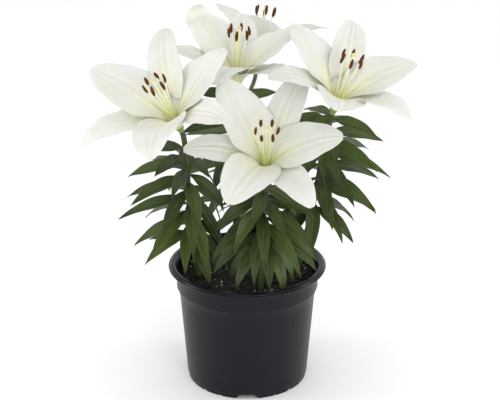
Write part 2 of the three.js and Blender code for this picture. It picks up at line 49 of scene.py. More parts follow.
POT_MIDDLE = np.array([*(pot_low + pot_high)[:2] / 2, 0.0])

# Gap between two pieces that touch on the real plant
SEAT = 0.3

# Pot: outer radii and heights, from the foot up, and the depth of the inner step under the lip
POT_SIDES = 192
WALL = 1.6
FOOT_RADIUS = 62.8
FOOT_WIDTH = 4.5
FOOT_HEIGHT = 5.5
WALL_FOOT_RADIUS = 63.8
WALL_TOP_RADIUS = 70.9
WALL_TOP = 93.5
COLLAR_RADIUS = 74
COLLAR_FOOT = 103
LIP_RADIUS = 82.5
LIP_WIDTH = 6.3
LIP_UNDERSIDE = 125
LIP_STEP = 5
POT_HEIGHT = 129.6

# Notches that let water out under the foot: angle of the first, angle between them, width below, width
# above, height, and how far each reaches into the foot and out of it
NOTCHES = [(0, 90, 24, 15.5, 5), (45, 90, 6.5, 4, 2.5), (27, 90, 4.5, 3, 1.4), (63, 90, 4.5, 3, 1.4)]
NOTCH_DEPTH = 8
NOTCH_CLEAR = 4
DRAIN_HOLES = 6
DRAIN_RADIUS = 4.5
DRAIN_CIRCLE = 44

# Potting mix: heights of its broad, fine and finest lumps, and how far it has settled at the wall
SOIL_TOP = 113
SOIL_RELIEF = 0.96
SOIL_FINE = 0.45
SOIL_FINER = 0.25
SOIL_SETTLED = 1.2
# Loose bits on it: how many, the least and the greatest size, how each is stretched, and the seed
LOOSE_BITS = {
    "bark": (900, (0.8, 3.4), (1.5, 0.9, 0.5), 5),
    "perlite": (220, (0.5, 1.5), (1.0, 0.9, 0.8), 6),
    "fibre": (160, (0.5, 1.0), (6.0, 0.45, 0.4), 7),
}

# Bulbs
BULB_RADIUS = 20
BULB_HEIGHT = 34
BULB_FOOT = 32
BULB_TOP = BULB_FOOT + BULB_HEIGHT

# Stems: the middle of the bulb, how far and which way the stem leans out of it, and the blooms that it
# carries
STEM_RADIUS = 3.1
STEM_RISE = 88
STEM_BEND = 22
HOLE_GAP = 0.45
PEDICEL_RADIUS = 2.3
STEMS = {
    "left": dict(bulb=(-40, 3), lean=(-27, 0), blooms=["left"]),
    "front": dict(bulb=(13, -29), lean=(2, -4), blooms=["front"]),
    "right": dict(bulb=(40, 8), lean=(27, 0), blooms=["right"]),
    "back": dict(bulb=(-4, 37), lean=(0, 5), blooms=["back", "rear"]),
}
# Where a second bloom's stalk leaves its stem, and how it sets out and arrives
FORK_HEIGHT = 254
FORK_LEAVE = (3, 16, 36)
FORK_ARRIVE = 24

# Leaves of each stem: heights of the lowest and the topmost, how many, the turn of the first, by how much
# more they bend down, and the seed of their random draws
LEAVES = {
    "left": dict(low=156, high=267, count=37, turn=17, droop=1, seed=231),
    "front": dict(low=161, high=229, count=37, turn=41, droop=17, seed=347),
    "right": dict(low=186, high=293, count=38, turn=205, droop=4, seed=144),
    "back": dict(low=164, high=297, count=27, turn=193, droop=-8, seed=132),
}
LEAF_LENGTH = 75
LEAF_HALF_WIDTH = 7.3
# Angle above level at the foot, and bend down to the tip, of the lowest and the topmost leaf
LEAF_LIFTS = (-27, 5)
LEAF_DROOPS = (35, 24)
LEAF_SCATTER = 34
LEAF_FOLD = np.radians(14)
LEAF_ROLL = np.radians(38)
LEAF_THICKNESS = 0.55
LEAF_STEPS = 24
SPIRAL = 137.5
LEAF_TRIES = 60

# Room kept clear of leaves: between those of two stems, over the pot, and round a bloom, under whose tepals
# the limit rises from its axis
LEAF_GAP = 2.4
RIM_GAP = 4
BLOOM_REACH = 92
BLOOM_DEPTH = 90
BLOOM_WAIST = 8
BLOOM_SLOPE = 0.45
BLOOM_UNDERSIDE = 11

# Tepals, outer and inner whorl: length, half-width and the share of it at the claw, angle from the bloom's
# axis at the base, at the open middle and by how much the end curls on, start of the midrib, furrow and
# edge wave
TEPAL = [
    dict(length=94, half_width=19, claw=0.26, base=22, open=60, curl=50,
         radius=4.6, height=0, furrow=0.5, wave=0.8),
    dict(length=96, half_width=27.5, claw=0.15, base=20, open=56, curl=45,
         radius=3.8, height=1, furrow=0.9, wave=1.5),
]
TEPAL_THICKNESS = 1.0
TEPAL_STEPS = 40
CLAW_END = 0.4
OPENING_END = 0.4
FOLD_START = 0.8

# Blooms: place of the receptacle, lean of the axis from upright and the way it leans, turn round the axis,
# and for each tepal, counter-clockwise from an outer one, what differs: length, open, curl, turn, and for
# some the angle by which the tip folds back
BLOOMS = {
    "left": dict(
        base=(-68, -39, 294.6), lean=31, towards=226, turn=318,
        tepals=[(0, 4, 2, -1), (-5, 4, -24, 2), (16, -9, 14, 5),
                (7, -1, -26, 4), (8, 8, 3, -9), (1, 3, 12, 2)],
    ),
    "front": dict(
        base=(18, -50, 254.3), lean=32, towards=272, turn=302,
        tepals=[(2, 2, 3, -1), (-6, -3, -11, -2), (14, 1, -7, 4, 90),
                (0, -11, -18, 7), (-4, 5, 1, 0), (9, 2, -7, 5)],
    ),
    "right": dict(
        base=(88, -3, 301.5), lean=21, towards=318, turn=324,
        tepals=[(-2, -1, 12, 4), (-3, -5, -13, -1), (12, -8, 2, 3),
                (-2, 3, -20, -5), (-5, 5, 10, -8), (-6, 6, -20, -1)],
    ),
    "back": dict(
        base=(-11, 41, 312.6), lean=11, towards=285, turn=318,
        tepals=[(-16, 0, -28, -2), (-12, -11, -26, -11), (-11, -5, -19, 8),
                (0, 3, -20, -8, -120), (-16, -1, -28, -9), (8, 1, 14, -4)],
    ),
    "rear": dict(
        base=(11, 137, 302.7), lean=25, towards=69, turn=213,
        tepals=[(-11, -19, -5, -2), (-17, 3, -20, -10), (-1, -7, 0, -3),
                (-5, -3, -4, 8), (0, -1, -1, -3), (-3, 10, 12, -4)],
    ),
}

# Receptacle at the end of the stem, and the core that holds the six tepals
RECEPTACLE_RADIUS = 4.4
RECEPTACLE_LENGTH = 7
CORE_FOOT = -2
CORE_TOP = 3
CORE_RADIUS = 6

# Stamens and pistil
FILAMENT_RADIUS = 0.6
FILAMENT_RING = 2.9
FILAMENT_HEIGHT = 57
FILAMENT_SPREAD = 10.5
ANTHER_LENGTH = 11.5
ANTHER_RADIUS = 1.75
OVARY_RADIUS = 2.1
OVARY_TOP = 19
STYLE_RADIUS = 1
STYLE_TOP = 63
STIGMA_RADIUS = 2.9

# Floor: how far it reaches from the middle, in metres
FLOOR_REACH = 9.0

# Camera: angle above level, distance, focal length on a 36 mm wide sensor, and what it looks at
CAMERA_ELEVATION = np.radians(22.3)
CAMERA_DISTANCE = 1600
CAMERA_LENS = 111.6
CAMERA_AIM = np.array([2.9, 0.0, 198.7])


# Arithmetic


def clamp(x):
    """x held between 0 and 1."""
    return np.clip(x, 0, 1)


def smooth(x):
    """Smooth step from 0 at 0 to 1 at 1."""
    x = clamp(x)
    return x * x * (3 - 2 * x)


def mix(a, b, t):
    """a at t 0, b at t 1."""
    return a + (b - a) * t


def unit(vectors):
    """Vectors scaled to length 1."""
    return vectors / np.linalg.norm(vectors, axis=-1, keepdims=True)


def draws(seed):
    """Seeded random draws from 0 to 1: each state is the last times a factor plus a step, in 32 bits."""
    state = seed
    while True:
        state = (state * 1664525 + 1013904223) % 4294967296
        yield state / 4294967296


def turn_about(axis, degrees):
    """Rotation matrix about the y or z axis."""
    c, s = np.cos(np.radians(degrees)), np.sin(np.radians(degrees))
    if axis == "z":
        return np.array([[c, -s, 0], [s, c, 0], [0, 0, 1]])
    return np.array([[c, 0, s], [0, 1, 0], [-s, 0, c]])


def lean_of(bloom):
    """Rotation matrix that leans a bloom out of upright."""
    return turn_about("z", bloom["towards"]) @ turn_about("y", bloom["lean"])


def axis_of(bloom):
    """Unit vector along a bloom's axis."""
    return lean_of(bloom)[:, 2]


def placed(bloom, shells):
    """Shells given in a bloom's own frame, with z along its axis, in the plant's frame."""
    turned = lean_of(bloom) @ turn_about("z", bloom["turn"] - bloom["towards"])
    return [(points @ turned.T + np.array(bloom["base"]), *values) for points, *values in shells]


def bezier(controls, t):
    """Curve by its three or four control points: the sum of each times its Bernstein weight."""
    t = np.asarray(t)[:, None]
    p = [np.asarray(control, float) for control in controls]
    if len(p) == 3:
        return (1 - t) ** 2 * p[0] + 2 * t * (1 - t) * p[1] + t**2 * p[2]
    return (1 - t) ** 3 * p[0] + 3 * t * (1 - t) ** 2 * p[1] + 3 * t**2 * (1 - t) * p[2] + t**3 * p[3]


# Meshes


def ring_faces(rows, columns):
    """Quads of a grid whose columns close into rings, and fans from a middle point over both ends."""
    row = np.arange(rows - 1)[:, None] * columns
    here = np.arange(columns)
    after = (here + 1) % columns
    corners = [row + here, row + after, row + columns + after, row + columns + here]
    middle = np.full(columns, rows * columns)
    last = (rows - 1) * columns
    first_fan = np.stack([after, here, middle], -1)
    last_fan = np.stack([last + here, last + after, middle + 1], -1)
    return np.stack(corners, -1).reshape(-1, 4), np.concatenate([first_fan, last_fan])


def mesh_from(name, vertices, faces):
    """Mesh of points in millimetres, moved into the frame and turned into metres."""
    mesh = bpy.data.meshes.new(name)
    mesh.from_pydata((vertices * MM + POT_MIDDLE).tolist(), [], faces)
    mesh.update()
    return mesh


def shells_to_mesh(name, shells):
    """Mesh of closed shells. Each has a grid of rings, the across and along values of its points, and a draw
    that differs from shell to shell. A shell whose enclosed volume comes out negative is turned round."""
    vertices, faces, surface, draw = [], [], [], []
    offset = 0
    for points, across, along, number in shells:
        rows, columns = points.shape[:2]
        quads, fans = ring_faces(rows, columns)
        grid = points.reshape(-1, 3)
        ends = points[[0, -1]].mean(1)
        whole = np.concatenate([grid, ends])
        a, b, c, d = (whole[quads[:, k]] - ends[0] for k in range(4))
        volume = np.einsum("ij,ij->", a, np.cross(b, c)) + np.einsum("ij,ij->", a, np.cross(c, d))
        if volume < 0:
            quads, fans = quads[:, ::-1], fans[:, ::-1]
        faces += (quads + offset).tolist() + (fans + offset).tolist()
        vertices.append(whole)
        flat = np.stack([across, along], -1).reshape(-1, 2)
        surface.append(np.concatenate([flat, [[0, along[0].mean()], [0, along[-1].mean()]]]))
        draw.append(np.full(len(whole), number))
        offset += len(whole)
    mesh = mesh_from(name, np.concatenate(vertices), faces)
    corner = np.empty(len(mesh.loops), dtype=np.int32)
    mesh.loops.foreach_get("vertex_index", corner)
    mesh.uv_layers.new(name="surface").data.foreach_set("uv", np.concatenate(surface)[corner].ravel())
    mesh.attributes.new("draw", "FLOAT", "POINT").data.foreach_set("value", np.concatenate(draw))
    mesh.polygons.foreach_set("use_smooth", np.ones(len(mesh.polygons), dtype=bool))
    return mesh


def add_object(name, data):
    """New object in the scene."""
    made = bpy.data.objects.new(name, data)
    bpy.context.scene.collection.objects.link(made)
    return made


def piece(name, form, finish, slot, *nodes):
    """A mesh or some shells as a piece of the plant, with its finish, standing for CAD nodes."""
    mesh = form if isinstance(form, bpy.types.Mesh) else shells_to_mesh(name, form)
    made = add_object(name, mesh)
    mesh.materials.append(FINISH[finish])
    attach(made, "root")
    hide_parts(*nodes)
    return made


def tube(line, radii, sides, number=0.0):
    """Shell of rings about a line of points. A ring stands across the line, in the plane of two directions:
    the cross product of the x axis with the line's direction, and that of the line's direction with it."""
    ahead = unit(np.gradient(line, axis=0))
    first = unit(np.cross(np.array([1.0, 0, 0]), ahead))
    second = np.cross(ahead, first)
    angle = np.arange(sides) * 2 * np.pi / sides
    radii = np.broadcast_to(np.asarray(radii, float), (len(line),))[:, None, None]
    ring = np.cos(angle)[None, :, None] * first[:, None] + np.sin(angle)[None, :, None] * second[:, None]
    along = np.repeat(np.linspace(0, 1, len(line))[:, None], sides, axis=1)
    return line[:, None] + radii * ring, np.broadcast_to(np.sin(angle), along.shape), along, number


def lathe(profile, sides, swell=None):
    """Shell of a profile of radii and heights turned about the z axis. swell scales the radius by row and
    angle."""
    profile = np.asarray(profile, float)
    angle = np.arange(sides) * 2 * np.pi / sides
    radius = np.repeat(profile[:, :1], sides, axis=1)
    along = np.repeat(np.linspace(0, 1, len(profile))[:, None], sides, axis=1)
    if swell is not None:
        radius = radius * swell(along, angle[None, :])
    height = np.repeat(profile[:, 1:], sides, axis=1)
    points = np.stack([radius * np.cos(angle), radius * np.sin(angle), height], -1)
    return points, np.broadcast_to(np.sin(angle), along.shape), along, 0.0


def rounded(corners, steps=5):
    """Profile with its corners cut round: each corner is (radius, height, how far the rounding reaches), and
    its arc is a curve from a point before it to a point after it that bends towards it."""
    points = np.array([corner[:2] for corner in corners], float)
    reach = [corner[2] if len(corner) > 2 else 0 for corner in corners]
    line = []
    for k, point in enumerate(points):
        if not reach[k]:
            line.append(point[None])
            continue
        before = point + reach[k] * unit(points[k - 1] - point)
        after = point + reach[k] * unit(points[k + 1] - point)
        line.append(bezier([before, point, after], np.linspace(0, 1, steps)))
    return np.concatenate(line)


def cut(made, cutters, smooth_angle=32):
    """Takes closed shells out of a piece, and shades it smooth except over edges sharper than an angle."""
    tool = add_object("cutter", shells_to_mesh("cutter", cutters))
    trim = made.modifiers.new("trim", "BOOLEAN")
    trim.operation = "DIFFERENCE"
    trim.solver = "EXACT"
    trim.use_self = True
    trim.object = tool
    ready = made.evaluated_get(bpy.context.evaluated_depsgraph_get())
    mesh = bpy.data.meshes.new_from_object(ready)
    made.modifiers.clear()
    made.data = mesh
    bpy.data.objects.remove(tool)
    mesh.set_sharp_from_angle(angle=np.radians(smooth_angle))


# Shader maths


class Number:
    """A shader socket that takes part in expressions. Each operator adds its Math node."""

    def __init__(self, tree, socket):
        self.tree = tree
        self.socket = socket

    def math(self, operation, *values):
        """Math node on this and other values."""
        node = self.tree.nodes.new("ShaderNodeMath")
        node.operation = operation
        for socket, value in zip(node.inputs, values):
            if isinstance(value, Number):
                self.tree.links.new(value.socket, socket)
            else:
                socket.default_value = value
        return Number(self.tree, node.outputs[0])

    def __add__(self, other):
        return self.math("ADD", self, other)

    def __sub__(self, other):
        return self.math("SUBTRACT", self, other)

    def __rsub__(self, other):
        return self.math("SUBTRACT", other, self)

    def __mul__(self, other):
        return self.math("MULTIPLY", self, other)

    def __truediv__(self, other):
        return self.math("DIVIDE", self, other)

    def __rtruediv__(self, other):
        return self.math("DIVIDE", other, self)

    def __pow__(self, other):
        return self.math("POWER", self, other)

    __radd__ = __add__
    __rmul__ = __mul__

    def size(self):
        """Without its sign."""
        return self.math("ABSOLUTE", self)

    def wave(self):
        """Sine."""
        return self.math("SINE", self)

    def between(self, start, end):
        """Smooth step from 0 at start to 1 at end."""
        node = self.tree.nodes.new("ShaderNodeMapRange")
        node.interpolation_type = "SMOOTHSTEP"
        self.tree.links.new(self.socket, node.inputs["Value"])
        node.inputs["From Min"].default_value = start
        node.inputs["From Max"].default_value = end
        return Number(self.tree, node.outputs["Result"])

    def bell(self, width):
        """Bell curve of its square over a width: 1 at 0."""
        return self.math("EXPONENT", (self / width) ** 2 * -1)


class Finish:
    """A material: its principled shader, and one way to add any node to it."""

    def __init__(self, name, specular=0.5, **values):
        self.material = bpy.data.materials.new(name)
        self.material.use_nodes = True
        self.tree = self.material.node_tree
        self.shader = self.tree.nodes["Principled BSDF"]
        self.shader.inputs["Specular IOR Level"].default_value = specular
        for socket, value in values.items():
            self.shader.inputs[socket.replace("_", " ").title()].default_value = value

    def node(self, kind, output, settings=None, **links):
        """Adds a node with its settings, and values or links of its sockets, named in words or by number."""
        node = self.tree.nodes.new("ShaderNode" + kind)
        for name, value in (settings or {}).items():
            setattr(node, name, value)
        for name, value in links.items():
            key = int(name[1:]) if name[1:].isdigit() else name.replace("_", " ").title()
            self.join(value, node.inputs[key])
        return Number(self.tree, node.outputs[output])

    def join(self, value, socket):
        """Links or sets a socket."""
        if isinstance(value, Number):
            self.tree.links.new(value.socket, socket)
        else:
            socket.default_value = value

    def surface(self):
        """Across and along values of a piece's own surface."""
        place = self.node("UVMap", 0, {"uv_map": "surface"})
        return (self.node("SeparateXYZ", k, vector=place) for k in range(2))

    def place(self):
        """Object coordinates, in metres."""
        return self.node("TexCoord", "Object")

    def draw(self):
        """The number that differs from shell to shell."""
        return self.node("Attribute", "Fac", {"attribute_name": "draw"})

    def noise(self, scale, detail=3.0, roughness=0.55):
        """Noise between 0 and 1, its scale in features per metre on Object coordinates."""
        where = self.place()
        return self.node("TexNoise", "Fac", scale=scale, detail=detail, roughness=roughness, vector=where)

    def stretched(self, x, y):
        """A vector of two numbers, its z at 0."""
        return self.node("CombineXYZ", 0, x=x, y=y)

    def blend(self, amount, below, above):
        """Colour from one to another by an amount."""
        colours = {"n0": amount, "n6": colour(below), "n7": colour(above)}
        return self.node("Mix", 2, {"data_type": "RGBA"}, **colours)

    def paint(self, base, roughness=None, bump=None, strength=0.5, depth=0.3):
        """Links the colour, the roughness, and a bump whose height counts in millimetres of depth."""
        self.join(colour(base), self.shader.inputs["Base Color"])
        if roughness is not None:
            self.join(roughness, self.shader.inputs["Roughness"])
        if bump is not None:
            relief = self.node("Bump", 0, strength=strength, distance=depth * MM, height=bump)
            self.join(relief, self.shader.inputs["Normal"])
        return self.material


def colour(value):
    """A colour with its alpha, where the value isn't a link."""
    return value if isinstance(value, Number) else (*value, 1.0)


def tepal_finish():
    """Matt white, cream inside, green-yellow in the throat and along the midrib, with fine veins along it,
    low warts in the throat, and a painted grey shade line along its edges."""
    finish = Finish("tepal_white", subsurface_weight=0.45, subsurface_scale=0.003)
    finish.shader.inputs["Subsurface Radius"].default_value = (1.0, 0.95, 0.6)
    across, along = finish.surface()
    drift = finish.noise(38.0, 2.0)
    white = finish.blend(drift.between(0.35, 0.7), (0.67, 0.675, 0.645), (0.63, 0.635, 0.595))
    inside = 1 - along.between(0.05, 0.62)
    cream = finish.blend(inside * 0.62, white, (0.84, 0.82, 0.58))
    throat = 1 - along.between(0.03, 0.24)
    green = finish.blend(throat * 0.7, cream, (0.95, 0.92, 0.44))
    rib = across.bell(0.06) * (1 - along.between(0.15, 0.7))
    ribbed = finish.blend(rib * 0.6, green, (0.66, 0.7, 0.24))
    nectary = across.bell(0.035) * along.between(0.02, 0.1) * (1 - along.between(0.2, 0.36))
    marked = finish.blend(nectary * 0.8, ribbed, (0.3, 0.4, 0.05))
    veins = (across * 60.0 + finish.noise(60.0, 1.0) * 2.0).wave() * 0.5 + 0.5
    veined = finish.blend(veins * 0.08 * (1 - across.size()), marked, (0.56, 0.62, 0.38))
    cells = finish.stretched(across * 9.0, along * 42.0)
    warts = finish.node("TexVoronoi", "Distance", {"feature": "F1"}, vector=cells, scale=1.0)
    raised = (1 - warts.between(0.08, 0.3)) * (1 - along.between(0.24, 0.36)) * along.between(0.06, 0.12)
    speckled = finish.blend(raised * 0.35, veined, (0.55, 0.6, 0.2))
    # Painted shade: the margin is greyed to stand in for the thin shadow line along each tepal's edge
    edge_shaded = finish.blend(across.size().between(0.9, 1.0) * 0.22, speckled, (0.46, 0.48, 0.4))
    folds = (across * 17.0 + finish.noise(30.0, 1.0) * 3.0).wave() * (1 - across.size())
    relief = veins * 0.12 + folds * 0.4 + raised * 0.8 + finish.noise(900.0, 2.0) * 0.12
    return finish.paint(edge_shaded, 0.46 + drift * 0.12, relief, strength=0.7, depth=0.6)


def leaf_finish():
    """Dark satin green with veins along it, a paler midrib, and its own shade for each leaf."""
    finish = Finish("leaf_green", specular=0.34)
    across, along = finish.surface()
    patches = finish.noise(70.0, 3.0)
    deep = finish.blend(finish.draw(), (0.014, 0.028, 0.004), (0.06, 0.096, 0.012))
    mottled = finish.blend(patches.between(0.4, 0.75) * 0.5, deep, (0.056, 0.084, 0.018))
    veins = (across * 44.0).wave() * 0.5 + 0.5
    veined = finish.blend(veins * 0.3, mottled, (0.07, 0.1, 0.03))
    rib = finish.blend(across.bell(0.055) * 0.7, veined, (0.15, 0.19, 0.07))
    edge = finish.blend(across.size().between(0.9, 1.0) * 0.3, rib, (0.12, 0.16, 0.055))
    foot = finish.blend((1 - along.between(0.0, 0.12)) * 0.3, edge, (0.08, 0.12, 0.03))
    relief = veins * 0.5 + across.bell(0.08) * -0.8 + patches * 0.3
    return finish.paint(foot, 0.24 + patches * 0.2, relief, strength=0.8, depth=0.5)


def stem_finish():
    """Smooth green stem with faint lengthwise ribs and darker patches."""
    finish = Finish("stem_green", subsurface_weight=0.04, subsurface_scale=0.002)
    across, _ = finish.surface()
    patches = finish.noise(90.0, 4.0)
    green = finish.blend(patches.between(0.3, 0.75), (0.04, 0.068, 0.018), (0.085, 0.125, 0.038))
    ribs = (across * 14.0).wave() * 0.5 + 0.5
    shaded = finish.blend(ribs * 0.25, green, (0.03, 0.05, 0.015))
    return finish.paint(shaded, 0.42 + patches * 0.15, ribs * 0.5 + patches * 0.5, strength=0.4, depth=0.3)


def grainy_finish(name, noise, below, above, rough, bump, **values):
    """Swelling under a bloom, or moist stigma: two colours mixed by a noise that also roughens it."""
    finish = Finish(name, subsurface_scale=0.002, **values)
    grain = finish.noise(noise, 3.0)
    shade = finish.blend(grain.between(0.3, 0.7), below, above)
    return finish.paint(shade, rough[0] + grain * rough[1], grain, strength=bump[0], depth=bump[1])


def paling_finish(name, weight, span, below, above, noise, rough):
    """Filament, or ovary and style: green that pales from its foot up, with a fine grain."""
    finish = Finish(name, subsurface_weight=weight, subsurface_scale=0.002)
    _, along = finish.surface()
    shade = finish.blend(along.between(*span), below, above)
    grain = finish.noise(noise, 2.0)
    return finish.paint(shade, rough + grain * 0.1, grain, strength=0.2, depth=0.1)


def anther_finish():
    """Powdery rust-brown anther with painted shade darkening its groove, and a grain of pollen."""
    finish = Finish("anther_rust", specular=0.1)
    across, _ = finish.surface()
    grain = finish.noise(2600.0, 4.0, 0.7)
    rust = finish.blend(grain.between(0.3, 0.7), (0.06, 0.02, 0.003), (0.16, 0.055, 0.009))
    # Painted shade: the notch between the two lobes is darkened as if shadowed
    groove = finish.blend(across.bell(0.22) * 0.6, rust, (0.02, 0.008, 0.002))
    return finish.paint(groove, 0.75 + grain * 0.2, grain, strength=0.8, depth=0.25)


def pot_finish():
    """Satin black plastic, faintly uneven from the mould, glossier at the lip, with thin dust low down and on
    the lip."""
    finish = Finish("pot_black_plastic", specular=0.21)
    broad = finish.noise(16.0, 4.0, 0.6)
    fine = finish.noise(1400.0, 3.0, 0.6)
    height = finish.node("SeparateXYZ", 2, vector=finish.place())
    under_lip = LIP_UNDERSIDE * MM
    low_down, on_lip = 1 - height.between(0.0, 0.03), height.between(under_lip + 0.001, under_lip + 0.005)
    dusty = low_down * 0.5 + on_lip * 0.35
    specks = finish.noise(420.0, 5.0, 0.75).between(0.55, 0.78)
    black = finish.blend(broad, (0.003, 0.003, 0.006), (0.0052, 0.0052, 0.009))
    dusted = finish.blend(specks * dusty * 0.35, black, (0.1, 0.095, 0.085))
    streaks = finish.stretched(broad * 2.0, height * 18.0)
    flow = finish.node("TexNoise", "Fac", scale=9.0, detail=2.0, vector=streaks)
    lip = height.between(under_lip - 0.003, under_lip)
    rough = 0.3 + broad * 0.12 + fine * 0.06 + specks * dusty * 0.25 - lip * 0.14
    return finish.paint(dusted, rough, fine * 0.4 + flow * 0.8, strength=0.16, depth=0.25)


def soil_finish():
    """Near-black crumbly mix with brown fibres, and painted shade: darker in its hollows, lighter on its
    lumps.
    """
    finish = Finish("potting_mix_dark")
    clods = finish.noise(230.0, 6.0, 0.75)
    grit = finish.noise(1300.0, 4.0, 0.7)
    # Painted shade: the colour follows the lumps of the bump, dark in the hollows and paler on the rises
    hollow_shaded = finish.blend(clods.between(0.35, 0.7), (0.0025, 0.0022, 0.002), (0.011, 0.0085, 0.006))
    flecked = finish.blend(grit.between(0.62, 0.7) * 0.6, hollow_shaded, (0.09, 0.075, 0.055))
    return finish.paint(flecked, 0.8 + grit * 0.18, clods + grit * 0.5, strength=1.0, depth=1.6)


def bit_finish(name, dark, pale, rough):
    """Loose bits of bark, fibre or perlite: a shade for each bit, with a fine grain."""
    finish = Finish(name)
    grain = finish.noise(1700.0, 4.0, 0.7)
    shade = finish.blend(finish.draw(), dark, pale)
    worn = finish.blend(grain.between(0.5, 0.75) * 0.4, shade, tuple(0.45 * part for part in dark))
    return finish.paint(worn, rough + grain * 0.15, grain, strength=0.7, depth=0.4)


def bulb_finish():
    """Fleshy cream scales, stained brown in patches and browner towards the root plate."""
    finish = Finish("bulb_cream", subsurface_weight=0.1, subsurface_scale=0.003)
    _, along = finish.surface()
    stain = finish.noise(160.0, 5.0, 0.7)
    flesh = finish.blend(stain.between(0.4, 0.7), (0.68, 0.6, 0.42), (0.45, 0.3, 0.15))
    root = finish.blend((1 - along.between(0.05, 0.3)) * 0.6, flesh, (0.25, 0.15, 0.08))
    return finish.paint(root, 0.5 + stain * 0.2, stain, strength=0.5, depth=0.5)


def floor_finish():
    """Plain pale studio floor."""
    finish = Finish("floor_pale")
    grain = finish.noise(40.0, 2.0)
    return finish.paint(finish.blend(grain, (0.97, 0.97, 0.97), (0.98, 0.98, 0.98)), 0.7 + grain * 0.05)


FINISH = {
    "tepal": tepal_finish(),
    "leaf": leaf_finish(),
    "stem": stem_finish(),
    "receptacle": grainy_finish(
        "receptacle_green", 140.0, (0.16, 0.24, 0.06), (0.24, 0.33, 0.1), (0.45, 0.1), (0.25, 0.2),
        subsurface_weight=0.08,
    ),
    "filament": paling_finish(
        "filament_green", 0.15, (0.05, 0.8), (0.72, 0.76, 0.36), (0.84, 0.86, 0.64), 1200.0, 0.4
    ),
    "anther": anther_finish(),
    "pistil": paling_finish(
        "pistil_green", 0.12, (0.1, 0.6), (0.5, 0.6, 0.22), (0.8, 0.8, 0.46), 1500.0, 0.38
    ),
    "stigma": grainy_finish(
        "stigma_cream", 2200.0, (0.6, 0.57, 0.22), (0.72, 0.69, 0.34), (0.32, 0.15), (0.6, 0.3),
        subsurface_weight=0.15, coat_weight=0.2,
    ),
    "pot": pot_finish(),
    "soil": soil_finish(),
    "bark": bit_finish("bark_brown", (0.003, 0.0026, 0.0022), (0.02, 0.0145, 0.0095), 0.7),
    "perlite": bit_finish("perlite_white", (0.13, 0.1, 0.06), (0.72, 0.7, 0.64), 0.8),
    "fibre": bit_finish("fibre_tan", (0.03, 0.018, 0.01), (0.16, 0.105, 0.06), 0.75),
    "bulb": bulb_finish(),
}


# Stems


def receptacle_foot(bloom):
    """Where a bloom's receptacle begins, below the bloom's base along its axis."""
    return np.array(bloom["base"]) + axis_of(bloom) * (CORE_FOOT - SEAT - RECEPTACLE_LENGTH)


def stem_controls(stem):
    """Control points of a stem's main line, from its bulb to its first bloom."""
    lean = np.array([*stem["lean"], STEM_RISE], float)
    root = np.array([*stem["bulb"], BULB_TOP + SEAT + STEM_RADIUS * np.hypot(*stem["lean"]) / STEM_RISE])
    bloom = BLOOMS[stem["blooms"][0]]
    end = receptacle_foot(bloom)
    return [root, root + lean, end - STEM_BEND * axis_of(bloom), end]


STEM_LINES = {name: bezier(stem_controls(stem), np.linspace(0, 1, 33)) for name, stem in STEMS.items()}


def stem_at(name, z):
    """Place of a stem's line at heights z, on straight runs between its points."""
    line = STEM_LINES[name]
    return np.stack([np.interp(z, line[:, 2], line[:, k]) for k in range(3)], -1)


def stem_shells(name, stem):
    """Main stem, a little thicker at its foot and swollen in rings where leaves grow, and the second bloom's
    stalk."""
    t = np.linspace(0, 1, 150)
    line = bezier(stem_controls(stem), t)
    rule = LEAVES[name]
    pitch = (rule["high"] - rule["low"]) / (rule["count"] - 1)
    rings = 0.5 + 0.5 * np.cos(2 * np.pi * (line[:, 2] - rule["low"]) / pitch)
    leafy = (line[:, 2] > rule["low"] - pitch) & (line[:, 2] < rule["high"] + pitch)
    shells = [tube(line, STEM_RADIUS * mix(1.02, 0.92, t) + 0.14 * rings * leafy, 20, 0.3)]
    for bloom in (BLOOMS[other] for other in stem["blooms"][1:]):
        foot = stem_at(name, FORK_HEIGHT)
        end = receptacle_foot(bloom)
        controls = [foot, foot + FORK_LEAVE, end - FORK_ARRIVE * axis_of(bloom), end]
        t = np.linspace(0, 1, 60)
        radius = mix(PEDICEL_RADIUS * 1.2, PEDICEL_RADIUS, smooth(t * 4))
        shells.append(tube(bezier(controls, t), radius, 16, 0.4))
    return shells


def receptacle_shell(bloom):
    """Swollen end of a stem: its radius grows smoothly from the stem's to the receptacle's, with three soft
    lobes."""

    def lobes(row, angle):
        return 1 - 0.04 * row * (1 + np.cos(3 * angle))

    top = CORE_FOOT - SEAT
    t = np.linspace(0, 1, 14)
    radius = mix(PEDICEL_RADIUS, RECEPTACLE_RADIUS, smooth(t * 1.15))
    height = mix(top - RECEPTACLE_LENGTH - 1, top, t)
    profile = np.stack([np.append(radius, 0.3), np.append(height, top)], -1)
    return placed(bloom, [lathe(profile, 24, lobes)])[0]


# Leaves


def leaf_points(leaf, t, v, lifted=0.0):
    """Points of a leaf at t along it and v across it. The middle line leaves the stem at its lift and bends
    down by its droop: the sum of small steps. Across, the blade is a shallow fold, rolled about that line."""
    s = (np.arange(LEAF_STEPS) + 0.5) / LEAF_STEPS * t[..., None]
    angle = np.radians(leaf["lift"] - leaf["droop"] * s**1.2)
    out = np.cos(angle).mean(-1) * leaf["length"] * t
    high = np.sin(angle).mean(-1) * leaf["length"] * t
    slope = np.radians(leaf["lift"] - leaf["droop"] * t**1.2)
    width = leaf["half_width"] * np.maximum(np.sin(np.pi * t**0.8), 0.03)
    a = np.radians(leaf["turn"])
    roll = -LEAF_ROLL * np.cos(a) * smooth(t / 0.3)
    across = width * v * np.cos(LEAF_FOLD)
    edge = width * np.abs(v) * np.sin(LEAF_FOLD) + lifted
    side = across * np.cos(roll) + edge * np.sin(roll) + leaf["sway"] * t * t
    lift = edge * np.cos(roll) - across * np.sin(roll)
    outwards = out - lift * np.sin(slope)
    x = leaf["from"][0] + outwards * np.cos(a) - side * np.sin(a)
    y = leaf["from"][1] + outwards * np.sin(a) + side * np.cos(a)
    return np.stack([x, y, leaf["from"][2] + high + lift * np.cos(slope)], -1)


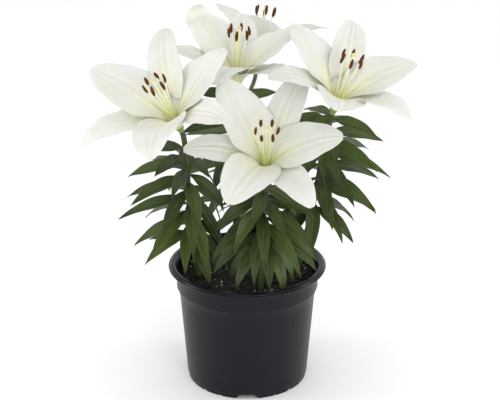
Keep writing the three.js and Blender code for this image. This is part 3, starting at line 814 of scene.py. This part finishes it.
def is_clear(points, name):
    """Whether a leaf's points are clear of the other stems' leaves, the blooms, the pot and the soil."""
    own = np.hypot(*(points - stem_at(name, points[:, 2]))[:, :2].T)
    for other in STEMS:
        if other != name:
            away = np.hypot(*(points - stem_at(other, points[:, 2]))[:, :2].T)
            if (away < own + LEAF_GAP).any():
                return False
    for bloom in BLOOMS.values():
        away = points - np.array(bloom["base"])
        along = away @ axis_of(bloom)
        aside = np.sqrt(np.maximum((away**2).sum(-1) - along**2, 0))
        under = np.minimum(BLOOM_SLOPE * (aside - BLOOM_WAIST), BLOOM_UNDERSIDE)
        if ((aside < BLOOM_REACH) & (along > under) & (along < BLOOM_DEPTH)).any():
            return False
    over_rim = np.hypot(points[:, 0], points[:, 1]) > COLLAR_RADIUS - WALL - RIM_GAP
    return bool((points[:, 2] > np.where(over_rim, POT_HEIGHT, SOIL_TOP) + RIM_GAP).all())


def leaves_of(name):
    """Leaves of a stem, in a spiral up it. Each is drawn again, further from the rule, until it is clear."""
    rule = LEAVES[name]
    draw = draws(rule["seed"])
    t = np.repeat([0.25, 0.5, 0.75, 1.0], 3)
    v = np.tile([-1.0, 0.0, 1.0], 4)
    leaves = []
    for k in range(rule["count"]):
        q = k / (rule["count"] - 1)
        start = stem_at(name, mix(rule["low"], rule["high"], q))
        for attempt in range(LEAF_TRIES):
            freedom = 0.3 + attempt / 20
            leaf = {"from": start}
            leaf["turn"] = rule["turn"] + SPIRAL * k + 40 * freedom * (next(draw) - 0.5)
            leaf["length"] = LEAF_LENGTH * (0.76 + 0.32 * np.sin(np.pi * q) - 0.1 * q)
            leaf["length"] *= 1 - 0.12 * freedom * next(draw)
            leaf["half_width"] = LEAF_HALF_WIDTH * (0.9 + 0.2 * next(draw))
            leaf["lift"] = mix(*LEAF_LIFTS, q**0.6) + LEAF_SCATTER * freedom * (next(draw) - 0.5)
            leaf["droop"] = mix(*LEAF_DROOPS, q) + rule["droop"] + LEAF_SCATTER * freedom * (next(draw) - 0.5)
            leaf["sway"] = 10 * (next(draw) - 0.5)
            if is_clear(leaf_points(leaf, t, v), name):
                leaves.append(leaf)
                break
    return leaves


def blade_ring(half):
    """Places round a blade, from one edge over its top to the other and back below, and 1 where below."""
    across = np.concatenate([-half[::-1], half[1:]])
    below = across[-2:0:-1]
    return np.concatenate([across, below]), np.concatenate([np.zeros(len(across)), np.ones(len(below))])


def leaf_shell(leaf, number):
    """Thin closed leaf: top and underside are a leaf's thickness apart, less towards the edges, which ripple
    a little."""
    across, below = blade_ring(np.array([0, 0.07, 0.2, 0.42, 0.66, 0.86, 0.96, 1]))
    t = np.linspace(0.015, 0.99, 26)[:, None] * np.ones(len(across))
    v = across * np.ones_like(t)
    ripple = 0.45 * v**2 * np.sin(2 * np.pi * (2.3 * t + number * 7 + 0.2 * v)) * smooth(t * 3)
    groove = -0.25 * np.exp(-((v / 0.1) ** 2)) * (1 - below)
    lifted = ripple + groove - LEAF_THICKNESS * below * (1 - v**4)
    return leaf_points(leaf, t, v, lifted), v, t, number


# Blooms


def tepal_midrib(tepal, t):
    """Radius, height and angle from the axis along a tepal's midrib: the sum of small steps at an angle that
    opens to the middle, curls on from there, and folds back near the tip where the tepal says so."""

    def angle_at(s):
        opening = mix(tepal["base"], tepal["open"], smooth(s / OPENING_END))
        curl = tepal["curl"] * clamp((s - OPENING_END) / (1 - OPENING_END)) ** 1.5
        return np.radians(opening + curl + tepal["fold"] * smooth((s - FOLD_START) / (1 - FOLD_START)))

    angle = angle_at((np.arange(TEPAL_STEPS) + 0.5) / TEPAL_STEPS * t[..., None])
    radius = tepal["radius"] + np.sin(angle).mean(-1) * tepal["length"] * t
    height = tepal["height"] + np.cos(angle).mean(-1) * tepal["length"] * t
    return radius, height, angle_at(t)


def tepal_points(tepal, t, v, lifted):
    """Points of a tepal at t along it and v across it. Across, it wraps round the axis near its base and is a
    shallow trough with a furrow and a waved edge further out."""
    radius, height, angle = tepal_midrib(tepal, t)
    taper = (1 - (0.985 * t) ** 3.5) ** 0.66
    width = tepal["half_width"] * mix(tepal["claw"], 1, smooth(t / CLAW_END)) * taper
    bend = np.maximum(np.cos(angle), 0) / radius * mix(1, 0.4, smooth(t / 0.5)) + mix(0.007, 0.002, t)
    side = np.sin(bend * width * v) / bend
    swing = np.sin(2 * np.pi * (1.3 * t + tepal["phase"] + 0.3 * v))
    wave = tepal["wave"] * smooth((t - 0.2) / 0.4) * v * v * swing
    furrow = tepal["furrow"] * np.exp(-((v / 0.25) ** 2)) * np.sin(np.pi * np.minimum(t + 0.1, 1))
    lift = (1 - np.cos(bend * width * v)) / bend + wave - furrow + lifted
    out = radius - lift * np.cos(angle)
    a = np.radians(tepal["turn"])
    x = out * np.cos(a) - side * np.sin(a)
    y = out * np.sin(a) + side * np.cos(a)
    return np.stack([x, y, height + lift * np.sin(angle)], -1)


def tepal_shell(tepal, number):
    """Thin closed tepal: pleats along it, a fine ripple at its edges and a keel under its midrib."""
    across, below = blade_ring(np.array([0, 0.05, 0.12, 0.22, 0.35, 0.5, 0.65, 0.8, 0.91, 0.975, 1]))
    t = (1 - (1 - np.linspace(0, 1, 46)) ** 1.25)[:, None] * np.ones(len(across))
    v = across * np.ones_like(t)
    out = smooth((t - 0.15) / 0.35) * smooth((1 - t) * 5)
    pleats = 0.5 * np.cos(2 * np.pi * (1.9 * np.abs(v) + 0.1)) * out * (1 - v**2)
    ripple = 0.55 * v**4 * np.sin(2 * np.pi * (4.3 * t + 5 * number + 0.4 * v)) * out
    keel = -0.5 * below * np.exp(-((v / 0.09) ** 2)) * (1 - t)
    thick = TEPAL_THICKNESS * mix(1, 0.6, t) * below * (1 - v**6)
    return tepal_points(tepal, t, v, pleats + ripple + keel - thick), v, t, number


def core_shell():
    """The short core that the six tepals grow from."""
    profile = rounded([
        (0.3, CORE_FOOT), (RECEPTACLE_RADIUS - 0.4, CORE_FOOT, 0.8), (CORE_RADIUS, 0.5, 1.5),
        (CORE_RADIUS, CORE_TOP, 1), (0.3, CORE_TOP),
    ])
    points, across, along, number = lathe(profile, 32)
    return points, across, 0.03 * along, number


def bloom_shells(bloom):
    """Core and tepals of a bloom, outer and inner in turn, in the plant's frame."""
    shells = [core_shell()]
    for k, (length, opening, curl, turn, *fold) in enumerate(bloom["tepals"]):
        tepal = dict(TEPAL[k % 2], phase=0.37 * k, fold=sum(fold))
        for key, more in (("length", length), ("open", opening), ("curl", curl), ("turn", 60 * k + turn)):
            tepal[key] = tepal.get(key, 0) + more
        shells.append(tepal_shell(tepal, 0.1 + 0.15 * k))
    return placed(bloom, shells)


def filament_line(k, t):
    """Line of filament number k: a curve that leaves the ring upright and leans out to its anther."""
    foot = (FILAMENT_RING, CORE_TOP + SEAT + 0.6)
    middle = (FILAMENT_RING + 1.2, FILAMENT_HEIGHT * 0.55)
    rings = [foot, middle, (FILAMENT_SPREAD, FILAMENT_HEIGHT)]
    a = np.radians(60 * k)
    return bezier([(r * np.cos(a), r * np.sin(a), z) for r, z in rings], t)


def anther_shell(k, tilt):
    """Two-lobed anther, hung at its middle: an ellipse along its length, notched in front, narrowed at its
    sides and tipped over a bit."""
    t = np.linspace(0.02, 0.98, 20)
    sides = 20
    angle = np.arange(sides) * 2 * np.pi / sides
    radius = ANTHER_RADIUS * np.sin(np.pi * t) ** 0.42
    notch = 0.3 * np.exp(-((np.sin(angle) / 0.35) ** 2)) * (np.cos(angle) > 0)
    lobes = 1 - notch - 0.12 * np.exp(-((np.cos(angle) / 0.3) ** 2))
    bow = 0.5 * np.sin(np.pi * t)
    x = radius[:, None] * np.cos(angle) * lobes * 0.85 + bow[:, None]
    y = radius[:, None] * np.sin(angle) * lobes
    z = np.repeat(((t - 0.5) * ANTHER_LENGTH)[:, None], sides, axis=1)
    points = np.stack([x, y, z], -1) @ turn_about("y", tilt).T @ turn_about("z", 60 * k).T
    end = filament_line(k, np.array([1.0]))[0]
    groove = np.broadcast_to(np.where(np.cos(angle) > 0, np.sin(angle), 1.0), z.shape)
    return points + end + (0, 0, 1), groove, np.repeat(t[:, None], sides, axis=1), k / 6


def pistil_shells():
    """Ovary with three soft ribs, and the style above it that widens to the stigma."""
    foot = CORE_TOP + SEAT
    ovary = rounded([
        (0.2, foot), (4, foot, 0.3), (3.4, foot + 1, 0.4), (OVARY_RADIUS, foot + 1.8, 0.6),
        (OVARY_RADIUS, OVARY_TOP, 1.5), (STYLE_RADIUS * 1.1, OVARY_TOP + 1.6, 0.6),
        (STYLE_RADIUS * 1.15, STYLE_TOP * 0.75), (STYLE_RADIUS * 1.7, STYLE_TOP - 0.5), (0.2, STYLE_TOP),
    ])
    return [lathe(ovary, 24, lambda row, angle: 1 - 0.1 * np.cos(3 * angle) * (row < 0.7))]


def stigma_shells():
    """Three-lobed stigma: a cushion whose radius swells three times round."""
    t = np.linspace(0, 1, 14)
    radius = STIGMA_RADIUS * np.sin(np.pi * mix(0.04, 0.97, t)) ** 0.6
    profile = np.stack([radius, mix(STYLE_TOP - 1.3, STYLE_TOP + 1.4, t)], -1)
    return [lathe(profile, 36, lambda row, angle: 0.84 + 0.16 * np.cos(3 * angle))]


def make_bloom(name, bloom, seed):
    """Tepals, filaments, anthers, pistil and stigma of a bloom."""
    draw = draws(seed)
    piece(f"tepals_{name}", bloom_shells(bloom), "tepal", "tepal", f"bloom_{name}_tepals")
    t = np.linspace(0, 1, 24)
    radii = FILAMENT_RADIUS * mix(1.5, 0.7, t)
    parts = {
        "filament": [tube(filament_line(k, t), radii, 10, k / 6) for k in range(6)],
        "anther": [anther_shell(k, 24 * (next(draw) - 0.5)) for k in range(6)],
        "pistil": pistil_shells(),
        "stigma": stigma_shells(),
    }
    for part, shells in parts.items():
        piece(f"{part}_{name}", placed(bloom, shells), part, "stamen", f"bloom_{name}_stamens")


# Pot and potting mix


def wall_inside(z):
    """Inner radius of the pot at height z."""
    heights = [FOOT_HEIGHT, WALL_TOP, COLLAR_FOOT]
    return np.interp(z, heights, [WALL_FOOT_RADIUS, WALL_TOP_RADIUS, COLLAR_RADIUS]) - WALL


def pot_shell():
    """The pot's outline turned round: foot ring, tapering wall, stepped collar with a bead, and broad lip
    with a bead below its crest."""
    inner = COLLAR_RADIUS - WALL
    outline = [
        (0.5, FOOT_HEIGHT), (FOOT_RADIUS - FOOT_WIDTH, FOOT_HEIGHT, 0.6), (FOOT_RADIUS - FOOT_WIDTH, 0, 0.6),
        (FOOT_RADIUS, 0, 1.2), (WALL_FOOT_RADIUS - 0.5, FOOT_HEIGHT - 0.6, 0.5),
        (WALL_FOOT_RADIUS + 0.15, FOOT_HEIGHT + 0.2, 0.4),
        (mix(WALL_FOOT_RADIUS, WALL_TOP_RADIUS, 0.5), mix(FOOT_HEIGHT, WALL_TOP, 0.5)),
        (WALL_TOP_RADIUS + 0.1, WALL_TOP + 1.5, 4.0), (COLLAR_RADIUS - 0.8, COLLAR_FOOT + 0.8, 1.5),
        (COLLAR_RADIUS + 0.3, COLLAR_FOOT + 2.0, 0.5), (COLLAR_RADIUS, COLLAR_FOOT + 2.8, 0.5),
        (COLLAR_RADIUS + 0.6, LIP_UNDERSIDE, 0.8),
        (LIP_RADIUS - 0.7, LIP_UNDERSIDE, 0.5), (LIP_RADIUS, LIP_UNDERSIDE + 0.9, 0.5),
        (LIP_RADIUS - 0.1, LIP_UNDERSIDE + 2.1, 0.6), (LIP_RADIUS - 1.3, LIP_UNDERSIDE + 2.5, 0.4),
        (LIP_RADIUS - 1.6, POT_HEIGHT - 1.3, 0.5), (LIP_RADIUS - 3.0, POT_HEIGHT, 1.1),
        (LIP_RADIUS - LIP_WIDTH, POT_HEIGHT, 1.5), (inner, POT_HEIGHT - LIP_STEP, 2.0),
        (inner, COLLAR_FOOT, 2.0),
        (WALL_TOP_RADIUS - WALL, WALL_TOP, 1.0), (wall_inside(FOOT_HEIGHT + WALL), FOOT_HEIGHT + WALL, 1.0),
        (0.5, FOOT_HEIGHT + WALL),
    ]
    return lathe(rounded(outline, 6), POT_SIDES)


def notch_cutter(angle, below, above, height):
    """Wedge through the foot ring at an angle: a trapezium, carried from inside the ring to outside it."""
    shape = np.array([(-below / 2 - 1, -1), (below / 2 + 1, -1), (above / 2, height), (-above / 2, height)])
    depth = np.array([-FOOT_RADIUS - NOTCH_CLEAR, -FOOT_RADIUS + NOTCH_DEPTH])
    x = np.broadcast_to(shape[:, 0], (2, 4))
    z = np.broadcast_to(shape[:, 1], (2, 4))
    y = np.broadcast_to(depth[:, None], (2, 4))
    points = np.stack([x, y, z], -1) @ turn_about("z", angle).T
    return points, x * 0, z * 0, 0.0


def make_pot():
    """The pot with its notches and drain holes cut out."""
    cutters = []
    for first, step, below, above, height in NOTCHES:
        cutters += [notch_cutter(angle, below, above, height) for angle in range(first, 360, step)]
    for k in range(DRAIN_HOLES):
        angle = 2 * np.pi * (k + 0.5) / DRAIN_HOLES
        middle = np.array([DRAIN_CIRCLE * np.cos(angle), DRAIN_CIRCLE * np.sin(angle), FOOT_HEIGHT - 2])
        line = middle + np.outer([0, 3 * WALL + 2], (0, 0, 1))
        cutters.append(tube(line, DRAIN_RADIUS, 32))
    pot = piece("nursery_pot", [pot_shell()], "pot", "pot", "pot")
    cut(pot, cutters)


def soil_height(x, y):
    """Height of the potting mix: the broad lumps of the CAD solid, with finer ones added."""
    lumps = np.sin(0.21 * x + 1.3) * np.cos(0.17 * y) + 0.7 * np.sin(0.11 * x - 0.27 * y + 0.6)
    fine = np.sin(0.9 * x + 2 * np.sin(0.5 * y)) * np.sin(0.8 * y + 1.5 * np.sin(0.45 * x))
    finer = np.sin(2.3 * x - 1.9 * y + 2 * np.sin(y)) * np.sin(2.1 * y + 1.7 * x)
    return SOIL_TOP + SOIL_RELIEF * lumps + SOIL_FINE * fine + SOIL_FINER * finer


def soil_shell():
    """Body of potting mix that fills the pot to just inside its wall, under its lumpy top, which sinks a
    little towards the wall."""
    foot = FOOT_HEIGHT + WALL + SEAT
    rim = wall_inside(SOIL_TOP) - SEAT
    side = [(wall_inside(z) - SEAT, z) for z in (foot, WALL_TOP, COLLAR_FOOT, SOIL_TOP - 3)]
    top = [(radius, SOIL_TOP) for radius in np.linspace(rim, 0.5, 74)]
    points, *values = lathe([(0.5, foot), *side, *top], 200)
    x, y, z = points[..., 0], points[..., 1], points[..., 2]
    height = soil_height(x, y) - SOIL_SETTLED * smooth((np.hypot(x, y) - rim + 4) / 4)
    points[..., 2] = np.where(z > SOIL_TOP - 1, height, z)
    return points, *values


def bulb_profile(grow):
    """Flat root plate, full belly and a drawn-in neck; grown, the hollow that the bulb fills."""
    t = np.linspace(0, 1, 30)[1:-1]
    radius = np.concatenate([[0.02, 0.4], np.sin(np.pi * t**0.8) ** 0.6 * mix(1, 0.72, t), [0.16, 0.02]])
    ends = BULB_HEIGHT + 4 * grow
    height = np.concatenate([[-grow, -grow], mix(-grow, BULB_HEIGHT + grow, t), [ends, ends]])
    return np.stack([radius * (BULB_RADIUS + grow), height + BULB_FOOT], -1)


def bulb_shell(x, y):
    """Bulb of overlapping scales: its radius steps in along lines that lean round it, more at its belly."""

    def scales(row, angle):
        lean = 5 * angle + 9 * row
        step = (lean / (2 * np.pi)) % 1
        return 1 - (0.02 + 0.06 * smooth(step * 1.3)) * np.sin(np.pi * row)

    points, *values = lathe(bulb_profile(-0.2), 90, scales)
    return points + (x, y, 0), *values


def make_soil():
    """Potting mix with a hollow round each bulb and a plain hole for each stem."""
    soil = piece("soil_bed", [soil_shell()], "soil", "potting_mix", "potting_mix")
    cutters = []
    for stem in STEMS.values():
        points, *values = lathe(bulb_profile(SEAT), 24)
        cutters.append((points + (*stem["bulb"], 0), *values))
        line = bezier(stem_controls(stem), np.linspace(0, 0.6, 24))
        cutters.append(tube(line, STEM_RADIUS + HOLE_GAP, 16))
    cut(soil, cutters, 60)


# Corners of a ball of twenty faces, and the corners of each face
GOLDEN = (1 + 5**0.5) / 2
BALL_CORNERS = [
    (-1, GOLDEN, 0), (1, GOLDEN, 0), (-1, -GOLDEN, 0), (1, -GOLDEN, 0),
    (0, -1, GOLDEN), (0, 1, GOLDEN), (0, -1, -GOLDEN), (0, 1, -GOLDEN),
    (GOLDEN, 0, -1), (GOLDEN, 0, 1), (-GOLDEN, 0, -1), (-GOLDEN, 0, 1),
]
BALL_FACES = [
    (0, 11, 5), (0, 5, 1), (0, 1, 7), (0, 7, 10), (0, 10, 11),
    (1, 5, 9), (5, 11, 4), (11, 10, 2), (10, 7, 6), (7, 1, 8),
    (3, 9, 4), (3, 4, 2), (3, 2, 6), (3, 6, 8), (3, 8, 9),
    (4, 9, 5), (2, 4, 11), (6, 2, 10), (8, 6, 7), (9, 8, 1),
]


def scatter(kind, count, size, stretch, seed):
    """Loose bits of a kind on the potting mix: balls, each stretched, dented, turned and laid at a random
    place, sunk by a part of its height. Places too near a stem are left out."""
    rng = np.random.default_rng(seed)
    ball = unit(np.array(BALL_CORNERS, float))
    radius = (wall_inside(SOIL_TOP) - 2.5) * np.sqrt(rng.random(count))
    angle = rng.random(count) * 2 * np.pi
    x, y = radius * np.cos(angle), radius * np.sin(angle)
    clear = np.ones(count, bool)
    for stem in STEMS:
        middle = stem_at(stem, SOIL_TOP)
        clear &= np.hypot(x - middle[0], y - middle[1]) > STEM_RADIUS + 2
    x, y = x[clear], y[clear]
    count = len(x)
    scale = size[0] + (size[1] - size[0]) * rng.random(count) ** 3
    shape = scale[:, None, None] * np.array(stretch) * (0.7 + 0.6 * rng.random((count, 1, 3)))
    lumps = ball * (0.75 + 0.5 * rng.random((count, 12, 1))) * shape
    turn = rng.random(count) * 2 * np.pi
    tip = (rng.random(count) - 0.5) * 0.9
    c, s = np.cos(turn)[:, None], np.sin(turn)[:, None]
    tipped_x = lumps[..., 0] * np.cos(tip)[:, None] + lumps[..., 2] * np.sin(tip)[:, None]
    tipped_z = lumps[..., 2] * np.cos(tip)[:, None] - lumps[..., 0] * np.sin(tip)[:, None]
    turned = np.stack([tipped_x * c - lumps[..., 1] * s, tipped_x * s + lumps[..., 1] * c, tipped_z], -1)
    high = soil_height(x, y) + 0.35 * scale * stretch[2]
    points = turned + np.stack([x, y, high], -1)[:, None]
    faces = (np.array(BALL_FACES) + 12 * np.arange(count)[:, None, None]).reshape(-1, 3)
    mesh = mesh_from(f"{kind}_bits", points.reshape(-1, 3), faces.tolist())
    shade = np.repeat(rng.random(count), 12)
    mesh.attributes.new("draw", "FLOAT", "POINT").data.foreach_set("value", shade)
    piece(f"{kind}_bits", mesh, kind, "potting_mix", "potting_mix")


# Studio


def aim(made, target):
    """Turns an object's -Z axis towards a point, in metres."""
    made.rotation_euler = (Vector(target) - made.location).to_track_quat("-Z", "Y").to_euler()


def make_floor():
    """Wide pale floor under the pot."""
    mesh = bpy.data.meshes.new("floor")
    corners = [(x * FLOOR_REACH, y * FLOOR_REACH, 0) for x, y in ((-1, -1), (1, -1), (1, 1), (-1, 1))]
    mesh.from_pydata(corners, [], [(0, 1, 2, 3)])
    mesh.materials.append(floor_finish())
    floor = add_object("floor", mesh)


def make_light(name, place, target, size, power):
    """Soft rectangular lamp."""
    lamp = bpy.data.lights.new(name, "AREA")
    lamp.shape = "RECTANGLE"
    lamp.size, lamp.size_y = size
    lamp.energy = power
    made = add_object(name, lamp)
    made.location = place
    aim(made, target)


def make_studio():
    """White surroundings, a soft lamp on either side of the camera, and a tall one on either side of the
    pot."""
    scene = bpy.context.scene
    world = scene.world or bpy.data.worlds.new("studio")
    scene.world = world
    world.use_nodes = True
    background = world.node_tree.nodes["Background"]
    background.inputs["Color"].default_value = (1, 1, 1, 1)
    background.inputs["Strength"].default_value = 0.98
    scene.view_settings.view_transform = "Standard"
    plant = POT_MIDDLE + (0, 0, 0.22)
    pot = POT_MIDDLE + (0, 0, 0.08)
    make_light("key", (-0.3, -2.0, 0.9), plant, (0.7, 0.7), 3)
    make_light("fill", (0.8, -1.9, 0.7), plant, (0.6, 0.9), 9)
    make_light("strip_left", (-1.25, -0.1, 0.35), pot, (0.35, 0.8), 5.5)
    make_light("strip_right", (1.25, 0.0, 0.35), pot, (0.35, 0.8), 5)


def make_camera():
    """Camera at the photograph's angle above level, aimed at the plant's middle."""
    lens = bpy.data.cameras.new("camera")
    lens.lens = CAMERA_LENS
    lens.sensor_width = 36
    made = add_object("camera", lens)
    target = CAMERA_AIM * MM + POT_MIDDLE
    back = np.array([0, -np.cos(CAMERA_ELEVATION), np.sin(CAMERA_ELEVATION)])
    made.location = target + back * CAMERA_DISTANCE * MM
    aim(made, target)
    bpy.context.scene.camera = made


make_pot()
make_soil()
for kind, bits in LOOSE_BITS.items():
    scatter(kind, *bits)
for name, stem in STEMS.items():
    node = f"leafy_stem_{name}"
    piece(f"bulb_scales_{name}", [bulb_shell(*stem["bulb"])], "bulb", "bulb", f"bulb_{name}")
    piece(f"stem_{name}", stem_shells(name, stem), "stem", "leaf", node)
    shade = draws(LEAVES[name]["seed"] + 100)
    blades = [leaf_shell(leaf, next(shade)) for leaf in leaves_of(name)]
    piece(f"leaves_{name}", blades, "leaf", "leaf", node)
    swellings = [receptacle_shell(BLOOMS[bloom]) for bloom in stem["blooms"]]
    piece(f"receptacle_{name}", swellings, "receptacle", "leaf", node)
for number, (name, bloom) in enumerate(BLOOMS.items()):
    make_bloom(name, bloom, 50 + number)
make_floor()
make_studio()
make_camera()
